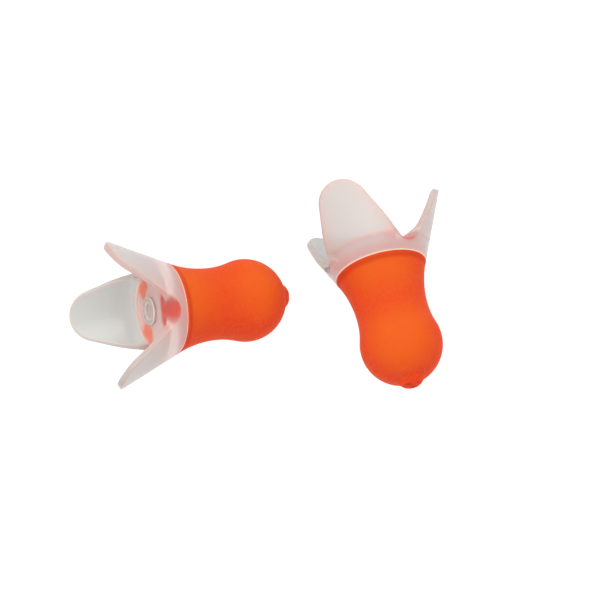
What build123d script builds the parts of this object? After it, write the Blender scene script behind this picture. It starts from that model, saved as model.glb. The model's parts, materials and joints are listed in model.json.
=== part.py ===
"""A pair of push-to-fit ear plugs lying on a table.

Each plug is a soft foam pod that goes into the ear, a clear three-petal grip bonded to
its wide end, and a clear stem whose head sits on the grip's floor and whose shank
stiffens the foam. Each plug is drawn once, upright, with +Z running from the pod's tip
to the petals and Z = 0 on the rim where foam and grip meet. Two copies are then laid on
the table, Z = 0. The right one rests on its bulb and on the edge of one petal, and the
left one on its bulb, with its petals tipped up a little clear of the table.
"""

import os
from math import asin, atan2, cos, degrees, radians, sin, sqrt, tan

from build123d import *

# Driving dimensions, in millimetres and degrees
rim_radius = 7.0          # foam and grip meet here, flush
waist_radius = 5.48
waist_drop = 7.0          # below the rim
waist_blend = 12.8        # radius of the concave arc from the waist down to the bulb
bulb_radius = 6.28
nib_radius = 2.0          # moulding nib on the pod's tip
nib_end_radius = 1.5
nib_height = 1.05
nib_softness = 0.4

grip_height = 11.75       # petal tips above the rim
flare = 23.7              # half-angle of the grip's outer cone
wall = 1.0                # petal thickness
floor_height = 3.0
floor_radius = 5.0        # flat part of the cup's floor
petals = 3
valley_height = 1.6       # bottom of each gap between petals, on the outer wall
valley_radius = 2.1
valley_half_angle = 40.0
tip_radius = 4.0          # round end of a petal, seen square to its face
side_half_angle = 18.0    # how a petal's sides close in on its round end

stem_radius = 1.6
stem_depth = 9.5          # shank below the rim
head_radius = 2.1
head_height = 0.45
dimple_radius = 1.2
dimple_depth = 0.35
head_softness = 0.1       # rounds on the stem head

# How each plug lies: place of the rim centre, heading of the petals in the plane of the
# table, tilt up from the table, and turn of the first petal from straight up
poses = {
    "left": {"x": -19.65, "y": -8.75, "heading": 199.85, "tilt": 15.9, "turn": -20.9},
    "right": {"x": 12.24, "y": -1.0, "heading": 104.2, "tilt": 11.27, "turn": 26.0},
}

# The pod's outline: the bulb's centre and the point where bulb and waist blend meet
blend_centre_radius = waist_radius + waist_blend
bulb_to_waist = sqrt((waist_blend + bulb_radius) ** 2 - blend_centre_radius**2)
bulb_height = -waist_drop - bulb_to_waist
meet_share = bulb_radius / (waist_blend + bulb_radius)
meet = (blend_centre_radius * meet_share, bulb_height + bulb_to_waist * meet_share)
nib_top = bulb_height - sqrt(bulb_radius**2 - nib_radius**2)

# The flare from the waist up to the rim is one arc, upright at the waist
rise = rim_radius - waist_radius
flare_arc_radius = (waist_drop**2 + rise**2) / (2 * rise)


def around(centre, radius, angle):
    """Point at an angle in degrees on a circle in the profile plane."""
    return (centre[0] + radius * cos(radians(angle)), centre[1] + radius * sin(radians(angle)))


flare_centre = (waist_radius + flare_arc_radius, -waist_drop)
flare_turn = degrees(asin(waist_drop / flare_arc_radius))
flare_middle = around(flare_centre, flare_arc_radius, 180 - flare_turn / 2)

blend_centre = (blend_centre_radius, -waist_drop)
blend_turn = degrees(asin((meet[1] + waist_drop) / waist_blend))
blend_middle = around(blend_centre, waist_blend, 180 - blend_turn / 2)

bulb_centre = (0, bulb_height)
meet_angle = degrees(atan2(meet[1] - bulb_height, meet[0]))
nib_angle = degrees(atan2(nib_top - bulb_height, nib_radius))
bulb_middle = around(bulb_centre, bulb_radius, (meet_angle + nib_angle) / 2)

# The foam pod, with a blind socket for the stem
with BuildPart() as foam_pod:
    with BuildSketch(Plane.XZ):
        with BuildLine():
            Line((stem_radius, 0), (rim_radius, 0))
            ThreePointArc((rim_radius, 0), flare_middle, (waist_radius, -waist_drop))
            ThreePointArc((waist_radius, -waist_drop), blend_middle, meet)
            ThreePointArc(meet, bulb_middle, (nib_radius, nib_top))
            Line((nib_radius, nib_top), (nib_end_radius, nib_top - nib_height))
            Line((nib_end_radius, nib_top - nib_height), (0, nib_top - nib_height))
            Line((0, nib_top - nib_height), (0, -stem_depth))
            Line((0, -stem_depth), (stem_radius, -stem_depth))
            Line((stem_radius, -stem_depth), (stem_radius, 0))
        make_face()
    revolve(axis=Axis.Z)
    nib_edge = foam_pod.edges().sort_by(Axis.Z)[0]
    fillet(nib_edge, radius=nib_softness)

# The grip: a flared cup with a thick floor, later cut into petals
slope = tan(radians(flare))
wall_out = wall * cos(radians(flare))
wall_up = wall * sin(radians(flare))
spare = wall              # the turned cup stands this much above the trimmed petals
blank_height = grip_height + spare
outer_top = (rim_radius + (blank_height - wall_up) * slope, blank_height - wall_up)
inner_top = (outer_top[0] - wall_out, blank_height)
inner_foot_radius = rim_radius + floor_height * slope - wall / cos(radians(flare))
cove_turn = radians(90 - flare)
cove_radius = (inner_foot_radius - floor_radius) / tan(cove_turn / 2)


def wall_plane(azimuth):
    """Plane square to the flared wall at an azimuth: x runs round the cup, y up the wall."""
    azimuth = radians(azimuth)
    outward = Vector(cos(azimuth), sin(azimuth), 0) * cos(radians(flare))
    outward -= Vector(0, 0, sin(radians(flare)))
    sideways = Vector(-sin(azimuth), cos(azimuth), 0)
    return Plane(origin=(0, 0, 0), x_dir=sideways, z_dir=outward)


def up_the_wall(height):
    """Distance up a wall plane of the outer wall's point at this height."""
    along = (rim_radius + height * slope) * sin(radians(flare))
    return along + height * cos(radians(flare))


with BuildPart() as petal_grip:
    with BuildSketch(Plane.XZ) as cup:
        with BuildLine():
            Polyline(
                (stem_radius, 0),
                (rim_radius, 0),
                outer_top,
                inner_top,
                (inner_foot_radius, floor_height),
                (stem_radius, floor_height),
                close=True,
            )
        make_face()
        inner_foot = cup.vertices().sort_by_distance((inner_foot_radius, floor_height))[0]
        fillet(inner_foot, radius=cove_radius)
    revolve(axis=Axis.Z)

    # Each gap is a rounded V, cut square to the flared wall
    valley_foot = up_the_wall(valley_height)
    valley_centre = valley_foot + valley_radius
    side_out = valley_radius * cos(radians(valley_half_angle))
    side_up = valley_centre - valley_radius * sin(radians(valley_half_angle))
    mouth_up = up_the_wall(blank_height) + spare
    mouth_out = side_out + (mouth_up - side_up) * tan(radians(valley_half_angle))
    for petal in range(petals):
        with BuildSketch(wall_plane((petal + 0.5) * 360 / petals)):
            with BuildLine():
                ThreePointArc((-side_out, side_up), (0, valley_foot), (side_out, side_up))
                Polyline(
                    (side_out, side_up),
                    (mouth_out, mouth_up),
                    (-mouth_out, mouth_up),
                    (-side_out, side_up),
                )
            make_face()
        extrude(amount=3 * rim_radius, mode=Mode.SUBTRACT)

    # Each petal is trimmed to a round end with straight sides that run out below it
    tip_up = up_the_wall(grip_height - wall_up)
    tip_out = tip_radius * cos(radians(side_half_angle))
    tip_side_up = tip_up - tip_radius * (1 - sin(radians(side_half_angle)))
    run_out = tip_out + tip_radius * tan(radians(side_half_angle))
    run_up = tip_side_up - tip_radius
    clear_out = 2 * rim_radius
    for petal in range(petals):
        with BuildSketch(wall_plane(petal * 360 / petals)):
            with BuildLine():
                ThreePointArc((-tip_out, tip_side_up), (0, tip_up), (tip_out, tip_side_up))
                Polyline(
                    (tip_out, tip_side_up),
                    (run_out, run_up),
                    (clear_out, run_up),
                    (clear_out, mouth_up),
                    (-clear_out, mouth_up),
                    (-clear_out, run_up),
                    (-run_out, run_up),
                    (-tip_out, tip_side_up),
                )
            make_face()
        extrude(amount=3 * rim_radius, mode=Mode.SUBTRACT)

# The stem: a shank through the grip and into the foam, with a dimpled head on the floor
head_top = floor_height + head_height
with BuildPart() as stem:
    with BuildSketch(Plane.XZ):
        with BuildLine():
            Polyline(
                (0, -stem_depth),
                (stem_radius, -stem_depth),
                (stem_radius, floor_height),
                (head_radius, floor_height),
                (head_radius, head_top),
                (dimple_radius, head_top),
                (dimple_radius, head_top - dimple_depth),
                (0, head_top - dimple_depth),
                close=True,
            )
        make_face()
    revolve(axis=Axis.Z)
    head_edges = stem.edges().filter_by(
        lambda edge: edge.center().Z > head_top - head_softness and edge.length > 1
    )
    fillet(head_edges, radius=head_softness)


def lying_plane(heading, tilt, turn):
    """Plane of a lying plug: its normal is the plug's +Z, its x direction the first petal."""
    heading = radians(heading)
    tilt = radians(tilt)
    turn = radians(turn)
    forward = Vector(cos(heading) * cos(tilt), sin(heading) * cos(tilt), sin(tilt))
    leftward = Vector(-sin(heading), cos(heading), 0)
    upward = forward.cross(leftward)
    first_petal = upward * cos(turn) + leftward * sin(turn)
    return Plane(origin=(0, 0, 0), x_dir=first_petal, z_dir=forward)


# Lift each plug so that its lowest point is on the table
pieces = {"foam_pod": foam_pod, "petal_grip": petal_grip, "stem": stem}
plug_places = {}
for side, pose in poses.items():
    turned = lying_plane(pose["heading"], pose["tilt"], pose["turn"]).location
    lowest_pod = foam_pod.part.moved(turned).bounding_box().min.Z
    lowest_grip = petal_grip.part.moved(turned).bounding_box().min.Z
    print(side, "pod and petal reach down to", lowest_pod, lowest_grip)
    height = -min(lowest_pod, lowest_grip)
    plug_places[side] = Location((pose["x"], pose["y"], height)) * turned

# Centre the pair on the origin
corners = [
    piece.part.moved(place).bounding_box() for place in plug_places.values() for piece in pieces.values()
]
middle_x = (min(box.min.X for box in corners) + max(box.max.X for box in corners)) / 2
middle_y = (min(box.min.Y for box in corners) + max(box.max.Y for box in corners)) / 2
print("pair's middle", middle_x, middle_y)

os.makedirs("parts", exist_ok=True)
for side, place in plug_places.items():
    centred = Location((-middle_x, -middle_y, 0)) * place
    for name, piece in pieces.items():
        with BuildPart() as laid:
            with Locations(centred):
                add(piece.part)
        laid.part.label = f"{side}_{name}"
        export_step(laid.part, f"parts/{side}_{name}.step")
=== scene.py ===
"""Looks for a pair of foam ear plugs with clear petal grips, lying on a pale table.

Each plug is drawn in its own frame, in millimetres: +Z runs from the foam's tip to the
petals, and Z = 0 is the rim where foam and grip meet. A plug's place on the table comes
from the record's ear-end mount, which lies on the plug's axis at the foam's tip. The
tints that vary over a plug are amounts held at its mesh's points, from 0 to 1; most of
them are painted light.
"""

import json
import math

import bmesh
import bpy
import numpy as np
from mathutils import Matrix, Vector


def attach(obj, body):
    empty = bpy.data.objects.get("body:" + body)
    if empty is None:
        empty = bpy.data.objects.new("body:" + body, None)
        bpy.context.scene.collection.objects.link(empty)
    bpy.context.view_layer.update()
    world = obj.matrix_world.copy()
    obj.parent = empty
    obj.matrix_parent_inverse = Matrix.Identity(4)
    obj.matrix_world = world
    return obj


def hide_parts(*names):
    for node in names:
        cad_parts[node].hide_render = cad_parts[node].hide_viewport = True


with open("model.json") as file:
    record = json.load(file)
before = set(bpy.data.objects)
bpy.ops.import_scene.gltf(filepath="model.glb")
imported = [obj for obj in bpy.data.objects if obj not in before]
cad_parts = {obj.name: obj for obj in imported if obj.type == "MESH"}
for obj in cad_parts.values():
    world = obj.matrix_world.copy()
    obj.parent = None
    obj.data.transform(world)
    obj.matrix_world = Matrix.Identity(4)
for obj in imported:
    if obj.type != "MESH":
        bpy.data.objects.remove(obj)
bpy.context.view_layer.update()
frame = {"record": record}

MM = 0.001

# The plug, as in the CAD model: lengths in millimetres, angles in radians
RIM_RADIUS = 7.0
WAIST_RADIUS = 5.48
WAIST_DROP = 7.0
WAIST_BLEND = 12.8
BULB_RADIUS = 6.28
NIB_RADIUS = 2.0
NIB_HEIGHT = 1.05
EAR_END_DROP = 19.47      # from the rim down to the ear-end mount
STEM_RADIUS = 1.6
STEM_DEPTH = 9.5

GRIP_HEIGHT = 11.75
FLARE = math.radians(23.7)
WALL = 1.0
FLOOR_HEIGHT = 3.0
FLOOR_RADIUS = 5.0
VALLEY_HEIGHT = 1.6
VALLEY_RADIUS = 2.1
VALLEY_HALF_ANGLE = math.radians(40.0)
TIP_RADIUS = 4.0
SIDE_HALF_ANGLE = math.radians(18.0)
HEAD_RADIUS = 2.1
HEAD_HEIGHT = 0.45
DIMPLE_RADIUS = 1.2
DIMPLE_DEPTH = 0.35
PETALS = 3

# Turn of the first petal from straight up, about each plug's axis, in degrees
TURNS = {"left": -20.9, "right": 26.0}

SLOPE = math.tan(FLARE)
POD_SIDES = 192           # points round the pod's mesh
STEM_SIDES = 96


# ---------------------------------------------------------------- placing and meshes


def plug_matrix(side):
    """From one plug's frame, in millimetres, to the scene's, in metres."""
    mount = next(m for m in frame["record"]["mounts"] if m["name"] == f"{side}_ear_end")
    forward = -Vector(mount["axis"]).normalized()
    rim_centre = Vector(mount["pos_m"]) + forward * EAR_END_DROP * MM
    leftward = Vector((-forward.y, forward.x, 0)).normalized()
    upward = forward.cross(leftward)
    turn = math.radians(TURNS[side])
    first = upward * math.cos(turn) + leftward * math.sin(turn)
    second = forward.cross(first)
    turned = Matrix((first, second, forward)).transposed().to_4x4()
    return Matrix.Translation(rim_centre) @ turned @ Matrix.Scale(MM, 4)


def add_mesh(name, points, faces, material, amounts):
    """A smooth-shaded mesh object from points and faces, with named amounts for each point."""
    mesh = bpy.data.meshes.new(name)
    mesh.from_pydata([tuple(p) for p in points], [], faces)
    mesh.materials.append(material)
    for label, values in amounts.items():
        mesh.attributes.new(label, "FLOAT", "POINT").data.foreach_set("value", values)
    built = bmesh.new()
    built.from_mesh(mesh)
    bmesh.ops.remove_doubles(built, verts=built.verts, dist=1e-5)
    bmesh.ops.recalc_face_normals(built, faces=built.faces)
    built.to_mesh(mesh)
    built.free()
    mesh.shade_smooth()
    piece = bpy.data.objects.new(name, mesh)
    bpy.context.scene.collection.objects.link(piece)
    return piece


def grid_faces(rings, sides):
    """Quads of a grid whose rings close on themselves."""
    faces = []
    for ring in range(rings - 1):
        low = ring * sides
        for i in range(sides):
            j = (i + 1) % sides
            faces.append((low + i, low + j, low + sides + j, low + sides + i))
    return faces


def arc(centre, radius, start, end, steps):
    """Points on a circle in the (radius, height) plane, from start to end in degrees."""
    angles = np.radians(np.linspace(start, end, steps))
    return [(centre[0] + radius * math.cos(a), centre[1] + radius * math.sin(a)) for a in angles]


def line(start, end, steps):
    """Points from start to end in the (radius, height) plane."""
    shares = np.linspace(0, 1, steps)
    return [tuple(np.array(start) * (1 - t) + np.array(end) * t) for t in shares]


def bend(before, start, end, end_direction, steps):
    """Smooth curve on from start to end, leaving in line with the point before it."""
    start, end = np.array(start), np.array(end)
    reach = np.linalg.norm(end - start) / 2.6
    leave = start - np.array(before)
    first = start + leave / np.linalg.norm(leave) * reach / 2
    second = end - np.array(end_direction) * reach
    curve = []
    for t in np.linspace(0, 1, steps + 1)[1:]:
        curve.append(tuple(
            (1 - t) ** 3 * start + 3 * t * (1 - t) ** 2 * first + 3 * t**2 * (1 - t) * second + t**3 * end
        ))
    return curve


def turned_points(profile, sides):
    """Points of a profile turned about Z, ring after ring."""
    angles = np.arange(sides) * 2 * math.pi / sides
    points = []
    for radius, height in profile:
        for a in angles:
            points.append((radius * math.cos(a), radius * math.sin(a), height))
    return np.array(points)


# ---------------------------------------------------------------- the foam pod

RIM_ROUND = 0.14          # small round on the foam's rim
FLARE_SHARE = 0.955       # the flare's arc stops this share of the way up, where the rim's round begins
BOND = 0.03               # foam and grip reach this far into each other where they are bonded
NEAR_AXIS = 0.02          # the smallest ring's radius, so that no two points of it meet
SHADE_BAND_HEIGHT = -0.55        # middle of the painted shade band in the concave flare under the rim
SHADE_BAND_WIDTH = 0.45
NIB_BLEND = 9             # degrees of the bulb's arc that the blend into the nib takes up
NIB_SHOULDER = 0.15       # the nib has its full radius this far down
NIB_FLAT_RADIUS = 0.8     # the nib's dome is nearly level inside this
NIB_DIMPLE = 0.15         # depth of the dimple in the nib's end
LUMPS_BELOW = -18.5       # the nib's lumps begin here, and the painted shade in their creases
CREASE_SHADE_REACH = 1.5        # the painted crease shade stays this near the axis
BULB_HEIGHT = -13.3       # height of the bulb's centre
PAINTED_LIGHT_SIDE = Vector((-0.05, -0.35, 0.93))   # the side of the foam painted more orange, as painted light where light falls on it


def pod_profile():
    """The pod's outline from its axis at the rim face, round the outside, to its tip."""
    blend_centre_radius = WAIST_RADIUS + WAIST_BLEND
    reach = WAIST_BLEND + BULB_RADIUS
    drop = math.sqrt(reach**2 - blend_centre_radius**2)
    bulb_height = -WAIST_DROP - drop
    share = BULB_RADIUS / reach
    meet = (blend_centre_radius * share, bulb_height + drop * share)
    nib_top = bulb_height - math.sqrt(BULB_RADIUS**2 - NIB_RADIUS**2)
    rise = RIM_RADIUS - WAIST_RADIUS
    flare_radius = (WAIST_DROP**2 + rise**2) / (2 * rise)
    flare_turn = math.degrees(math.asin(WAIST_DROP / flare_radius))
    blend_turn = math.degrees(math.asin((meet[1] + WAIST_DROP) / WAIST_BLEND))
    meet_angle = math.degrees(math.atan2(meet[1] - bulb_height, meet[0]))
    nib_angle = math.degrees(math.atan2(nib_top - bulb_height, NIB_RADIUS))
    nib_end = nib_top - NIB_HEIGHT

    flare_centre = (WAIST_RADIUS + flare_radius, -WAIST_DROP)
    outline = line((NEAR_AXIS, BOND), (RIM_RADIUS - RIM_ROUND, BOND), 30)
    outline += arc((RIM_RADIUS - RIM_ROUND, BOND - RIM_ROUND), RIM_ROUND, 80, 15, 6)
    outline += arc(flare_centre, flare_radius, 180 - flare_turn * FLARE_SHARE, 180, 40)
    outline += arc((blend_centre_radius, -WAIST_DROP), WAIST_BLEND, 180, 180 - blend_turn, 26)[1:]
    outline += arc((0, bulb_height), BULB_RADIUS, meet_angle, nib_angle + NIB_BLEND, 70)[1:]
    outline += bend(outline[-2], outline[-1], (NIB_RADIUS, nib_top - NIB_SHOULDER), (-0.25, -0.97), 8)
    outline += bend(outline[-2], outline[-1], (NIB_FLAT_RADIUS, nib_end), (-1, 0), 14)
    outline += bend(outline[-2], outline[-1], (NEAR_AXIS / 2, nib_end + NIB_DIMPLE), (-1, 0), 8)
    return outline


def soft_noise(points, scale, seed):
    """Smooth noise between about -1 and 1 at each point, from a few waves."""
    random = np.random.default_rng(seed)
    total = np.zeros(len(points))
    for _ in range(9):
        wave = random.normal(size=3)
        wave *= scale * random.uniform(0.6, 1.5) / np.linalg.norm(wave)
        total += np.sin(points @ wave + random.uniform(0, 2 * math.pi))
    return total / 4


def make_pod(side, material):
    points = turned_points(pod_profile(), POD_SIDES)
    outward = points * np.array((1, 1, 0))
    outward /= np.maximum(np.linalg.norm(outward, axis=1, keepdims=True), 1e-6)
    # a slight unevenness, different on each plug, and lumps on the nib
    seed = 3 if side == "left" else 8
    swell = 0.02 * soft_noise(points, 0.45, seed)
    swell *= np.clip(-points[:, 2] / 1.5, 0, 1)
    on_nib = np.clip((LUMPS_BELOW - points[:, 2]) / 0.4, 0, 1)
    lumps = soft_noise(points, 6.5, seed + 2)
    rough = on_nib * 0.05 * lumps
    points = points + outward * (swell + rough)[:, None]
    points[:, 2] += rough
    rings = len(points) // POD_SIDES
    faces = grid_faces(rings, POD_SIDES)
    faces.append(tuple(range(POD_SIDES)))
    faces.append(tuple(range((rings - 1) * POD_SIDES, rings * POD_SIDES)))

    # tints, all painted light: shade in the band under the rim and in the nib's creases, and a more orange
    # side that faces up, towards the light
    painted_shade = np.clip(1.4 - np.abs(points[:, 2] - SHADE_BAND_HEIGHT) / SHADE_BAND_WIDTH, 0, 1) * 0.6
    off_axis = np.hypot(points[:, 0], points[:, 1])
    crease_shade = on_nib * np.clip(0.3 - lumps * 1.8, 0, 1) * np.clip((CREASE_SHADE_REACH - off_axis) / 0.4, 0, 1)
    # painted light: more orange where the bulb faces the light, less so near the waist
    light_way = np.array(plug_matrix(side).to_3x3().inverted() @ PAINTED_LIGHT_SIDE)
    light_way /= np.linalg.norm(light_way)
    facing = points - np.array((0, 0, BULB_HEIGHT))
    facing[:, 2] = np.minimum(facing[:, 2], 0)
    facing /= np.linalg.norm(facing, axis=1, keepdims=True)
    off_waist = np.clip(np.abs(points[:, 2] + WAIST_DROP) / 5.0, 0, 1)
    painted_light = np.clip((facing @ light_way - 0.45) / 0.5, 0, 1) * (0.25 + 0.57 * off_waist)
    # painted light: the foam's face under the grip is painted a brighter red, to look lit through the clear
    # grip
    painted_lit_face = (points[:, 2] > -0.02).astype(float)
    amounts = {"painted_shade": np.maximum(painted_shade, crease_shade), "painted_light": painted_light, "painted_lit_face": painted_lit_face}
    pod = add_mesh(f"{side}_pod_foam", points, faces, material, amounts)
    pod.data.transform(plug_matrix(side))
    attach(pod, f"{side}_plug")
    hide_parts(f"{side}_foam_pod")


# ---------------------------------------------------------------- the clear petal grip

EDGE_STEPS = 56           # columns along half a petal's edge
EDGE_TRIALS = 1400        # azimuths and depths tried when the edge is searched for
EDGE_ROUND = 0.25         # rounding of the cut edges
BASE_ROUND = 0.12
WALL_START = 0.14         # the outer wall's rings start this far above the rim
DEEPEST_CUT = 7.0         # a cut square to the wall is through the cup before this depth
THICK_CUT = 1.6           # a cut this deep is hardly rounded on the inside


def up_the_wall(height):
    """Distance up the wall of the outer wall's point at this height, seen square to the wall."""
    return (RIM_RADIUS + height * SLOPE) * math.sin(FLARE) + height * math.cos(FLARE)


def keeps(theta, height):
    """True where the outer wall is left standing: below the gaps and inside a petal's outline."""
    radius = RIM_RADIUS + height * SLOPE
    up_valley = radius * np.cos(math.pi / PETALS - theta) * math.sin(FLARE) + height * math.cos(FLARE)
    out_valley = radius * np.sin(math.pi / PETALS - theta)
    centre = up_the_wall(VALLEY_HEIGHT) + VALLEY_RADIUS
    side_up = centre - VALLEY_RADIUS * math.sin(VALLEY_HALF_ANGLE)
    side_out = VALLEY_RADIUS * math.cos(VALLEY_HALF_ANGLE)
    low = centre - np.sqrt(np.maximum(VALLEY_RADIUS**2 - np.minimum(out_valley, VALLEY_RADIUS) ** 2, 0))
    flank = side_up + (out_valley - side_out) / math.tan(VALLEY_HALF_ANGLE)
    in_valley = np.where(out_valley < side_out, up_valley < low, up_valley < flank)

    up_petal = radius * np.cos(theta) * math.sin(FLARE) + height * math.cos(FLARE)
    out_petal = radius * np.sin(theta)
    tip_up = up_the_wall(GRIP_HEIGHT - WALL * math.sin(FLARE))
    tip_side_up = tip_up - TIP_RADIUS * (1 - math.sin(SIDE_HALF_ANGLE))
    tip_side_out = TIP_RADIUS * math.cos(SIDE_HALF_ANGLE)
    cap = tip_up - TIP_RADIUS + np.sqrt(np.maximum(TIP_RADIUS**2 - out_petal**2, 0))
    straight = tip_side_out + (tip_side_up - up_petal) * math.tan(SIDE_HALF_ANGLE)
    in_cap = (up_petal < cap) & (out_petal < TIP_RADIUS)
    in_petal = np.where(up_petal > tip_side_up, in_cap, out_petal < straight)
    in_petal |= up_petal < tip_side_up - TIP_RADIUS
    return in_valley & in_petal


def petal_edge():
    """(theta, height) along the cut edge on the outer wall, from a petal's tip to the valley."""
    thetas = np.linspace(0, math.pi / PETALS, EDGE_TRIALS)
    low = np.full_like(thetas, 0.0)
    high = np.full_like(thetas, GRIP_HEIGHT + 1)
    for _ in range(30):
        middle = (low + high) / 2
        standing = keeps(thetas, middle)
        low = np.where(standing, middle, low)
        high = np.where(standing, high, middle)
    heights = (low + high) / 2
    radii = RIM_RADIUS + heights * SLOPE
    path = np.stack([radii * np.cos(thetas), radii * np.sin(thetas), heights], 1)
    lengths = distances_along(path)
    wanted = np.linspace(0, lengths[-1], EDGE_STEPS + 1)
    theta = np.interp(wanted, lengths, thetas)
    height = np.interp(wanted, lengths, heights)
    for _ in range(2):
        height[1:-1] = (height[:-2] + 2 * height[1:-1] + height[2:]) / 4
        theta[1:-1] = (theta[:-2] + 2 * theta[1:-1] + theta[2:]) / 4
    return theta, height


def whole_edge():
    """The edge all the way round: azimuths and heights, three petals."""
    theta, height = petal_edge()
    half = list(zip(theta, height))
    mirrored = [(2 * math.pi / PETALS - t, h) for t, h in half[::-1][1:-1]]
    edge = []
    for petal in range(PETALS):
        edge += [(t + petal * 2 * math.pi / PETALS, h) for t, h in half + mirrored]
    return np.array(edge).T


def distances_along(path):
    """Distance along a path at each of its points."""
    return np.concatenate([[0], np.cumsum(np.linalg.norm(np.diff(path, axis=0), axis=1))])


def flat_from(theta, height):
    """The wall unrolled flat, which keeps its lengths: azimuth and height to a point."""
    from_apex = (RIM_RADIUS + height * SLOPE) / math.sin(FLARE)
    turn = theta * math.sin(FLARE)
    return np.stack([from_apex * np.cos(turn), from_apex * np.sin(turn)], -1)


def from_flat(flat, near):
    """A point of the unrolled wall back to azimuth, within half a turn of near, and height."""
    from_apex = np.linalg.norm(flat, axis=-1)
    theta = np.arctan2(flat[..., 1], flat[..., 0]) / math.sin(FLARE)
    theta = near + (theta - near + math.pi) % (2 * math.pi) - math.pi
    return theta, (from_apex * math.sin(FLARE) - RIM_RADIUS) / SLOPE


def turned_flat(point, angle):
    """A point of the unrolled wall, turned about the apex."""
    c, s = math.cos(angle), math.sin(angle)
    return point @ np.array([[c, s], [-s, c]])


def inward_from_edge(flat):
    """Direction on the unrolled wall, square to its edge and into the plastic, at each column."""
    # the unrolled wall isn't closed, so the end columns' neighbours are turned beside them
    full_turn = 2 * math.pi * math.sin(FLARE)
    before = np.roll(flat, 1, axis=0)
    before[0] = turned_flat(before[0], -full_turn)
    after = np.roll(flat, -1, axis=0)
    after[-1] = turned_flat(after[-1], full_turn)
    along = after - before
    along /= np.linalg.norm(along, axis=1, keepdims=True)
    inward = np.stack([along[:, 1], -along[:, 0]], 1)
    towards_apex = -flat / np.linalg.norm(flat, axis=1, keepdims=True)
    inward *= np.sign(np.sum(inward * towards_apex, axis=1, keepdims=True) + 1e-9)
    return inward


def level_ring(theta, radius, up):
    """A ring of points round the axis."""
    return np.stack([radius * np.cos(theta), radius * np.sin(theta), up + 0 * theta], 1)


def wall_point(theta, height, depth):
    """Point of the flared wall at an azimuth and height, this deep under its outer face."""
    radius = RIM_RADIUS + height * SLOPE - depth * math.cos(FLARE)
    up = height + depth * math.sin(FLARE)
    return np.stack([radius * np.cos(theta), radius * np.sin(theta), up + 0 * theta], -1)


def cup_inside():
    """(radius, height) down the inside of the cup, from above the tips to the floor's middle."""
    foot = RIM_RADIUS + FLOOR_HEIGHT * SLOPE - WALL / math.cos(FLARE)
    turn = math.pi / 2 - FLARE
    cove = (foot - FLOOR_RADIUS) / math.tan(turn / 2)
    top = GRIP_HEIGHT + 2
    cove_centre = (FLOOR_RADIUS, FLOOR_HEIGHT + cove)
    leave = -math.degrees(FLARE)
    wall_foot = arc(cove_centre, cove, leave, leave, 1)[0]
    wall_top = (foot + (top - FLOOR_HEIGHT) * SLOPE, top)
    inside = line(wall_top, wall_foot, 60)
    inside += arc(cove_centre, cove, leave, -90, 26)[1:]
    inside += line((FLOOR_RADIUS, FLOOR_HEIGHT), (NEAR_AXIS, FLOOR_HEIGHT), 20)[1:]
    return np.array(inside)


def cut_thickness(height, inside):
    """Depth at which a cut square to the wall comes out on the inside of the cup, at each column."""
    depths = np.linspace(0, DEEPEST_CUT, EDGE_TRIALS)
    thickness = []
    for start in height:
        radius = RIM_RADIUS + start * SLOPE - depths * math.cos(FLARE)
        up = start + depths * math.sin(FLARE)
        surface = np.interp(radius, inside[::-1, 0], inside[::-1, 1])
        thickness.append(depths[np.argmax(up >= surface)])
    return np.array(thickness)


def underside_rings(theta):
    """From the middle of the underside out, and up the base's small round."""
    rings = []
    for radius in np.linspace(NEAR_AXIS, RIM_RADIUS - BASE_ROUND, 16):
        rings.append(level_ring(theta, radius, -BOND))
    for angle in np.radians(np.linspace(-75, 0, 5)):
        radius = RIM_RADIUS - BASE_ROUND + BASE_ROUND * math.cos(angle)
        rings.append(level_ring(theta, radius, -BOND + BASE_ROUND + BASE_ROUND * math.sin(angle)))
    return rings, [0] * len(rings)


def outer_wall_rings(theta, flat, inward):
    """Up the outer wall to the rounded edge, with the edge's painted pink glow close to it."""
    top_theta, top_height = from_flat(flat + inward * EDGE_ROUND, theta)
    rings, tints = [], []
    # the first rings lie close together, to hold the bond's sharp line
    for share in [0, 0.012] + list(np.linspace(0.04, 1, 52)):
        up = WALL_START + (top_height - WALL_START) * share
        rings.append(wall_point(theta + (top_theta - theta) * share, up, 0))
        tints.append(max(0, share - 0.9) * 5)
    return rings, tints


def cut_rings(theta, flat, inward, thickness, inner_round):
    """Through the cut edge: a quarter round, a flat, and a quarter round where the wall is thin."""
    steps = []
    for angle in np.radians(np.linspace(15, 90, 6)):
        steps.append((EDGE_ROUND * (1 - math.sin(angle)), EDGE_ROUND * (1 - math.cos(angle)) + 0 * theta))
    for share in np.linspace(0, 1, 8)[1:-1]:
        steps.append((0, EDGE_ROUND + (thickness - EDGE_ROUND - inner_round) * share))
    for angle in np.radians(np.linspace(90, 15, 6)):
        steps.append((inner_round * (1 - math.sin(angle)), thickness - inner_round * (1 - math.cos(angle))))
    rings = []
    for off, depth in steps:
        place = flat + inward * np.reshape(off + 0 * theta, (-1, 1))
        ring_theta, ring_height = from_flat(place, theta)
        rings.append(wall_point(ring_theta, ring_height, depth))
    # the cut is painted all over with the edge's pink glow
    return rings, [1] * len(rings)


def inside_rings(theta, flat, inward, thickness, inner_round, inside):
    """Down the inside: from where the cut comes out, along the cup's profile to its middle."""
    distances = distances_along(inside)
    exit_theta, exit_height = from_flat(flat + inward * inner_round[:, None], theta)
    exit_radius = RIM_RADIUS + exit_height * SLOPE - thickness * math.cos(FLARE)
    exit_distance = np.interp(-exit_radius, -inside[:, 0], distances)
    rings, tints = [], []
    for share in np.linspace(0, 1, 46):
        distance = exit_distance + (distances[-1] - exit_distance) * share
        radius = np.interp(distance, distances, inside[:, 0])
        up = np.interp(distance, distances, inside[:, 1])
        rings.append(level_ring(theta + (exit_theta - theta) * max(0.0, 1 - share * 4), radius, up))
        # the edge's painted pink glow runs a little way down the inside
        tints.append(max(0, 0.06 - share) * 8)
    return rings, tints


def fade(values, start, width):
    """0 up to start, then rising to 1 over width."""
    return np.clip((values - start) / width, 0, 1)


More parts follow.
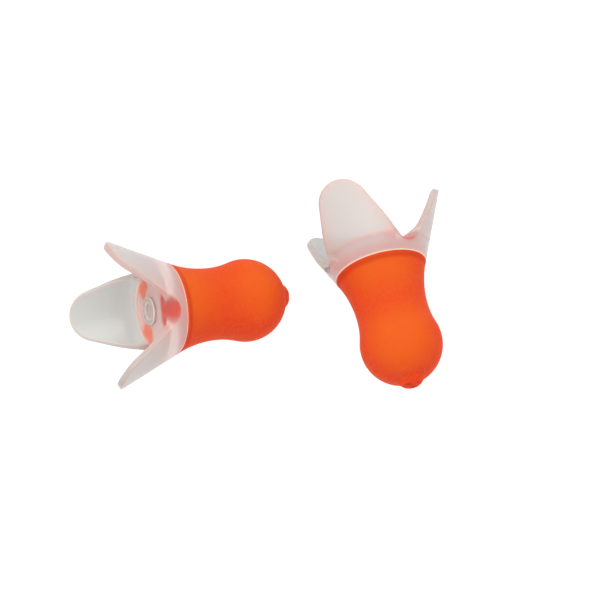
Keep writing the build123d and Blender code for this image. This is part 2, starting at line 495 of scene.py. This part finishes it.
def grip_amounts(side, points, edge_height, tints, on_cut, inner):
    """How strongly each tint shows at each point, from 0 to 1. Most tints are painted light.

    All heights and distances are in the plug's own frame, in millimetres, and from_petal is
    the angle round the axis from the nearest petal's middle, in radians.
    """
    up = points[:, 2]
    reach = np.hypot(points[:, 0], points[:, 1])
    from_petal = np.arccos(np.cos(PETALS * np.arctan2(points[:, 1], points[:, 0]))) / PETALS
    skyward = np.array(plug_matrix(side).to_3x3().inverted() @ Vector((0, 0, 1)))[:2]
    upper = np.clip(points[:, :2] @ skyward / np.linalg.norm(skyward) / np.maximum(reach, 1), 0, 1)
    # the gap that faces up most, and how far each point lies towards it
    gaps = math.pi / PETALS + np.arange(PETALS) * 2 * math.pi / PETALS
    gap_ways = np.stack([np.cos(gaps), np.sin(gaps)], 1)
    to_gap = points[:, :2] @ gap_ways[np.argmax(gap_ways @ skyward)]
    by_gap = fade(to_gap, 3.3, 0.9) * fade(from_petal, np.where(on_cut, 0.72, 0.45), 0.2)

    # painted light on the floor: pale reflections as crescents before the petals, a pale ring about the
    # stem's head, and paler towards the gap that faces up
    crescent = np.clip((0.72 - from_petal) / 0.25, 0, 1) * np.clip((5.1 - reach) / 0.6, 0, 1) * 0.85
    around_head = np.clip((3.0 + 1.4 * upper - reach) / 0.8, 0, 1) * 0.8
    by_head = 0.85 * np.clip(to_gap / 1.5, 0, 1)
    haze_and_painted_light = np.maximum.reduce([crescent, around_head, by_head]) * inner * (up < 3.6) * (1 - by_gap)

    # painted refraction: between the crescents, the foam's orange as seen through the floor, and the red
    # slope out to each gap
    low = inner * np.clip((3.5 + 0.7 * by_gap * (1 - on_cut) - up) / 0.3, 0, 1) * (1 - haze_and_painted_light)
    painted_foam_orange = np.clip((5.5 - reach) / 0.3, 0, 1) * low
    on_ramp = np.clip((from_petal - 0.85 + 0.3 * upper) / 0.15, 0, 1) * (0.4 + 0.6 * upper)
    ramp = np.maximum(on_ramp * fade(reach, 5.1, 0.5), by_gap) * low

    # painted light on the outer wall, for the foam's orange seen through it: a pink line at the floor's
    # height, pink beside the gaps and near the foam
    floor_line = 0.8 * np.exp(-(((up - 2.7) / 0.4) ** 2))
    below_edge = np.tile(edge_height, len(points) // len(edge_height)) - up
    beside_gap = 0.6 * np.clip(1 - below_edge / 5, 0, 1) * fade(from_petal, 0.12, 0.3)
    by_foam = 0.75 * np.clip((1.6 - up) / 1.0, 0, 1)
    painted_outer_pink = np.maximum.reduce([floor_line, beside_gap, by_foam]) * (1 - inner)
    # the edges' painted pink glow, as of orange light carried in the wall, is stronger on the side that
    # faces up
    upper_edge = 0.35 + 0.65 * np.clip(1.6 * upper, 0, 1)

    milk_inner = fade(reach, 5.5, 0.3) * fade(up, 3.0, 0.05)
    return {
        "edge": np.maximum(tints * (1 - painted_foam_orange) * upper_edge, painted_outer_pink),
        "milk": np.where(inner, milk_inner, fade(up, 2.4, 0.8)),
        "outer": 1.0 - inner,
        "haze_and_painted_light": haze_and_painted_light,
        "painted_foam_orange": painted_foam_orange,
        "ramp": ramp,
        # painted glint: a pale cream line along the grip's foot, by the foam
        "painted_glint": np.clip((0.15 - up) / 0.03, 0, 1),
    }


def make_grip(side, material):
    theta, height = whole_edge()
    flat = flat_from(theta, height)
    inward = inward_from_edge(flat)
    inside = cup_inside()
    thickness = cut_thickness(height, inside)
    inner_round = np.clip((THICK_CUT - thickness) / 0.4, 0.1, 1) * EDGE_ROUND
    zones = {
        "underside": underside_rings(theta),
        "outer wall": outer_wall_rings(theta, flat, inward),
        "cut": cut_rings(theta, flat, inward, thickness, inner_round),
        "inside": inside_rings(theta, flat, inward, thickness, inner_round, inside),
    }
    rings, tints, zone_of_ring = [], [], []
    for zone, (zone_rings, zone_tints) in zones.items():
        rings += zone_rings
        tints += zone_tints
        zone_of_ring += [zone] * len(zone_rings)

    count = len(theta)
    points = np.concatenate(rings)
    zone_of_point = np.repeat(zone_of_ring, count)
    on_cut = zone_of_point == "cut"
    inner = on_cut | (zone_of_point == "inside")
    amounts = grip_amounts(side, points, height, np.repeat(tints, count), on_cut, inner)
    faces = grid_faces(len(rings), count)
    faces.append(tuple(range(count)))
    faces.append(tuple(range((len(rings) - 1) * count, len(rings) * count)))
    grip = add_mesh(f"{side}_grip_clear", points, faces, material, amounts)
    grip.data.transform(plug_matrix(side))
    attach(grip, f"{side}_plug")
    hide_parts(f"{side}_petal_grip")


# ---------------------------------------------------------------- the stem

FUSED_DEPTH = 0.3         # the shank ends this far under the rim, and above it stem and grip are one
HEAD_LIFT = 0.02          # the head's underside clears the floor's face by this
HEAD_ROUND = 0.14
DIMPLE_ROUND = 0.12


def make_stem(side, material):
    """The stem's shank in the foam and its head on the cup's floor, fused with the grip between."""
    top = FLOOR_HEIGHT + HEAD_HEIGHT
    head_foot = FLOOR_HEIGHT + HEAD_LIFT
    shank = line((NEAR_AXIS, -STEM_DEPTH), (STEM_RADIUS, -STEM_DEPTH), 4)
    shank += line((STEM_RADIUS, -STEM_DEPTH), (STEM_RADIUS, -FUSED_DEPTH), 12)[1:]
    shank += line((STEM_RADIUS, -FUSED_DEPTH), (NEAR_AXIS, -FUSED_DEPTH), 4)[1:]
    head = line((NEAR_AXIS, head_foot), (HEAD_RADIUS, head_foot), 6)
    head += arc((HEAD_RADIUS - HEAD_ROUND, top - HEAD_ROUND), HEAD_ROUND, 0, 90, 6)
    head += line((HEAD_RADIUS - 0.2, top), (DIMPLE_RADIUS + 0.2, top), 8)
    head += arc((DIMPLE_RADIUS + DIMPLE_ROUND, top - DIMPLE_ROUND), DIMPLE_ROUND, 90, 180, 6)
    head += line((DIMPLE_RADIUS, top - DIMPLE_DEPTH), (NEAR_AXIS, top - DIMPLE_DEPTH), 6)
    points, faces = [], []
    for profile in (shank, head):
        start, rings = len(points), len(profile)
        points += list(turned_points(profile, STEM_SIDES))
        loops = grid_faces(rings, STEM_SIDES)
        loops.append(tuple(range(STEM_SIDES)))
        loops.append(tuple(range((rings - 1) * STEM_SIDES, rings * STEM_SIDES)))
        faces += [tuple(start + i for i in loop) for loop in loops]
    # painted highlight: the rounded edges of the head and of its dimple are painted paler, as if catching
    # light
    reach, up = np.hypot(*np.array(points)[:, :2].T), np.array(points)[:, 2]
    head_edge = reach > HEAD_RADIUS - 0.18
    dimple_edge = (reach < DIMPLE_RADIUS + 0.2) * (reach > DIMPLE_RADIUS - 0.05)
    pale = (up > top - 0.12) * (head_edge + dimple_edge)
    amounts = {"haze_and_painted_light": 0.5 * (up > 0), "painted_glint": 0.6 * pale}
    stem = add_mesh(f"{side}_stem_pin", points, faces, material, amounts)
    stem.data.transform(plug_matrix(side))
    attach(stem, f"{side}_plug")
    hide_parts(f"{side}_stem")


# ---------------------------------------------------------------- materials

# The foam's own patchy tone runs from low to high; the lit side, the shade and the face under the grip are
# painted light
FOAM_LOW = (0.63, 0.046, 0.008, 1)
FOAM_HIGH = (0.70, 0.068, 0.010, 1)
FOAM_PAINTED_LIGHT = (0.70, 0.125, 0.009, 1)
FOAM_PAINTED_SHADE = (0.50, 0.025, 0.006, 1)
FOAM_PAINTED_LIT_FACE = (1.0, 0.11, 0.06, 1)       # the face that shows through the grip, painted brighter as painted light

# The elastomer's colour inside the cup and outside, where it is milky and low down where it is clear
MILKY_INSIDE, MILKY_OUTSIDE = (0.61, 0.635, 0.605, 1), (0.73, 0.655, 0.63, 1)
CLEAR_INSIDE, CLEAR_OUTSIDE = (0.94, 0.90, 0.87, 1), (0.85, 0.81, 0.785, 1)

# The tints laid over that one after another: the amount's name, the colour, and the clearness there. All
# are painted light except the stem head's haze: the edges' pink glow, the foam's orange and red seen
# through the floor, the floor's pale reflections, and glints.
TINTS = [
    ("edge", (0.84, 0.60, 0.55, 1), None),
    ("painted_foam_orange", (1.0, 0.30, 0.17, 1), 0.4),
    ("ramp", (1.0, 0.22, 0.17, 1), 0.68),
    ("haze_and_painted_light", (0.86, 0.75, 0.70, 1), 0.35),
    ("painted_glint", (0.95, 0.80, 0.66, 1), 0.2),
]


def new_material(name):
    material = bpy.data.materials.new(name)
    material.use_nodes = True
    return material, material.node_tree.nodes, material.node_tree.links


def noise_node(nodes, links, scale, detail):
    """Noise over the surface in the object's own space, in features per metre."""
    place = nodes.new("ShaderNodeTexCoord")
    noise = nodes.new("ShaderNodeTexNoise")
    noise.inputs["Scale"].default_value = scale
    noise.inputs["Detail"].default_value = detail
    links.new(place.outputs["Object"], noise.inputs["Vector"])
    return noise


def add_bump(nodes, links, noise, strength, distance):
    """A bump from a noise, on the material's shader. The distance is in metres."""
    bump = nodes.new("ShaderNodeBump")
    bump.inputs["Strength"].default_value = strength
    bump.inputs["Distance"].default_value = distance
    links.new(noise.outputs["Fac"], bump.inputs["Height"])
    links.new(bump.outputs["Normal"], nodes["Principled BSDF"].inputs["Normal"])


def amount_node(nodes, label):
    """A named amount of the mesh, from 0 to 1."""
    node = nodes.new("ShaderNodeAttribute")
    node.attribute_name = label
    return node.outputs["Fac"]


def mixed(nodes, links, amount, first, second):
    """Mix of two colours or two sockets by an amount."""
    mix = nodes.new("ShaderNodeMix")
    mix.data_type = "RGBA"
    links.new(amount, mix.inputs["Factor"])
    for socket, value in (("A", first), ("B", second)):
        place = [i for i in mix.inputs if i.name == socket and i.type == "RGBA"][0]
        if isinstance(value, tuple):
            place.default_value = value
        else:
            links.new(value, place)
    return [o for o in mix.outputs if o.type == "RGBA"][0]


def foam_material():
    material, nodes, links = new_material("orange_foam")
    shader = nodes["Principled BSDF"]
    shader.inputs["Roughness"].default_value = 0.7
    shader.inputs["Specular IOR Level"].default_value = 0.12
    shader.inputs["Subsurface Weight"].default_value = 1.0
    shader.inputs["Subsurface Radius"].default_value = (1.0, 0.3, 0.1)
    shader.inputs["Subsurface Scale"].default_value = 0.0016
    patches = noise_node(nodes, links, 2500, 4)
    ramp = nodes.new("ShaderNodeValToRGB")
    ramp.color_ramp.elements[0].position = 0.3
    ramp.color_ramp.elements[0].color = FOAM_LOW
    ramp.color_ramp.elements[1].position = 0.7
    ramp.color_ramp.elements[1].color = FOAM_HIGH
    links.new(patches.outputs["Fac"], ramp.inputs["Fac"])
    # over the foam's own tone: a painted highlight on the lit side, painted shade, and the face under the
    # grip painted brighter
    painted_shade, painted_light = amount_node(nodes, "painted_shade"), amount_node(nodes, "painted_light")
    foam_colour = mixed(nodes, links, painted_light, ramp.outputs["Color"], FOAM_PAINTED_LIGHT)
    foam_colour = mixed(nodes, links, painted_shade, foam_colour, FOAM_PAINTED_SHADE)
    foam_colour = mixed(nodes, links, amount_node(nodes, "painted_lit_face"), foam_colour, FOAM_PAINTED_LIT_FACE)
    links.new(foam_colour, shader.inputs["Base Color"])
    add_bump(nodes, links, noise_node(nodes, links, 6000, 3), 0.6, 0.00008)
    return material


def grey(value):
    return (value, value, value, 1)


def clear_material(name, roughness):
    """Soft clear elastomer: nearly clear where it is solid, milky in the petals, with a painted pink glow
    at its edges and other painted light from its tints.
    """
    material, nodes, links = new_material(name)
    shader = nodes["Principled BSDF"]
    shader.inputs["Roughness"].default_value = roughness
    shader.inputs["IOR"].default_value = 1.38
    milk, outer = amount_node(nodes, "milk"), amount_node(nodes, "outer")
    milky = mixed(nodes, links, outer, MILKY_INSIDE, MILKY_OUTSIDE)
    clear = mixed(nodes, links, outer, CLEAR_INSIDE, CLEAR_OUTSIDE)
    colour = mixed(nodes, links, milk, clear, milky)
    clearness = mixed(nodes, links, outer, grey(0.96), grey(0.6))
    clearness = mixed(nodes, links, milk, clearness, grey(0.45))
    for label, tint, clearness_there in TINTS:
        amount = amount_node(nodes, label)
        colour = mixed(nodes, links, amount, colour, tint)
        if clearness_there is not None:
            clearness = mixed(nodes, links, amount, clearness, grey(clearness_there))
    links.new(colour, shader.inputs["Base Color"])
    links.new(clearness, shader.inputs["Transmission Weight"])
    add_bump(nodes, links, noise_node(nodes, links, 1500, 2), 0.15, 0.00003)
    return material


def table_material():
    material, nodes, links = new_material("pale_table")
    shader = nodes["Principled BSDF"]
    shader.inputs["Base Color"].default_value = (0.12, 0.12, 0.12, 1)
    shader.inputs["Roughness"].default_value = 0.9
    shader.inputs["Specular IOR Level"].default_value = 0.1
    shader.inputs["Emission Color"].default_value = (1, 1, 1, 1)
    shader.inputs["Emission Strength"].default_value = 0.96
    return material


# ---------------------------------------------------------------- table, light, camera

CAMERA_LENS = 400.0
CAMERA_DISTANCE = 1.015
CAMERA_ELEVATION = math.radians(53.8)
AIM = Vector((0.00669, 0.00534, 0))      # the pair lies left of and below the middle of the view


def make_table():
    bpy.ops.mesh.primitive_plane_add(size=4)
    table = bpy.context.object
    table.name = "table"
    table.data.materials.append(table_material())


def aim(thing, at):
    thing.rotation_euler = (at - thing.location).to_track_quat("-Z", "Y").to_euler()


def add_softbox(name, place, size, power):
    light = bpy.data.lights.new(name, "AREA")
    light.shape = "RECTANGLE"
    light.size, light.size_y = size
    light.energy = power
    box = bpy.data.objects.new(name, light)
    box.location = place
    aim(box, Vector((0, 0, 0)))
    bpy.context.scene.collection.objects.link(box)


def make_light():
    world = bpy.data.worlds.new("studio")
    world.use_nodes = True
    world.node_tree.nodes["Background"].inputs["Color"].default_value = (1, 1, 1, 1)
    world.node_tree.nodes["Background"].inputs["Strength"].default_value = 0.85
    bpy.context.scene.world = world
    add_softbox("key", (-0.05, -0.12, 0.7), (0.5, 0.4), 3.0)


def make_camera():
    camera = bpy.data.cameras.new("camera")
    camera.lens = CAMERA_LENS
    camera.clip_start = 0.01
    thing = bpy.data.objects.new("camera", camera)
    back = Vector((0, -math.cos(CAMERA_ELEVATION), math.sin(CAMERA_ELEVATION)))
    thing.location = AIM + back * CAMERA_DISTANCE
    aim(thing, AIM)
    bpy.context.scene.collection.objects.link(thing)
    bpy.context.scene.camera = thing


# ---------------------------------------------------------------- the scene

foam = foam_material()
clear = clear_material("clear_elastomer", 0.3)
stem_clear = clear_material("clear_stem", 0.08)
for side in ("left", "right"):
    make_pod(side, foam)
    make_grip(side, clear)
    make_stem(side, stem_clear)
make_table()
make_light()
make_camera()
bpy.context.scene.view_settings.view_transform = "Standard"
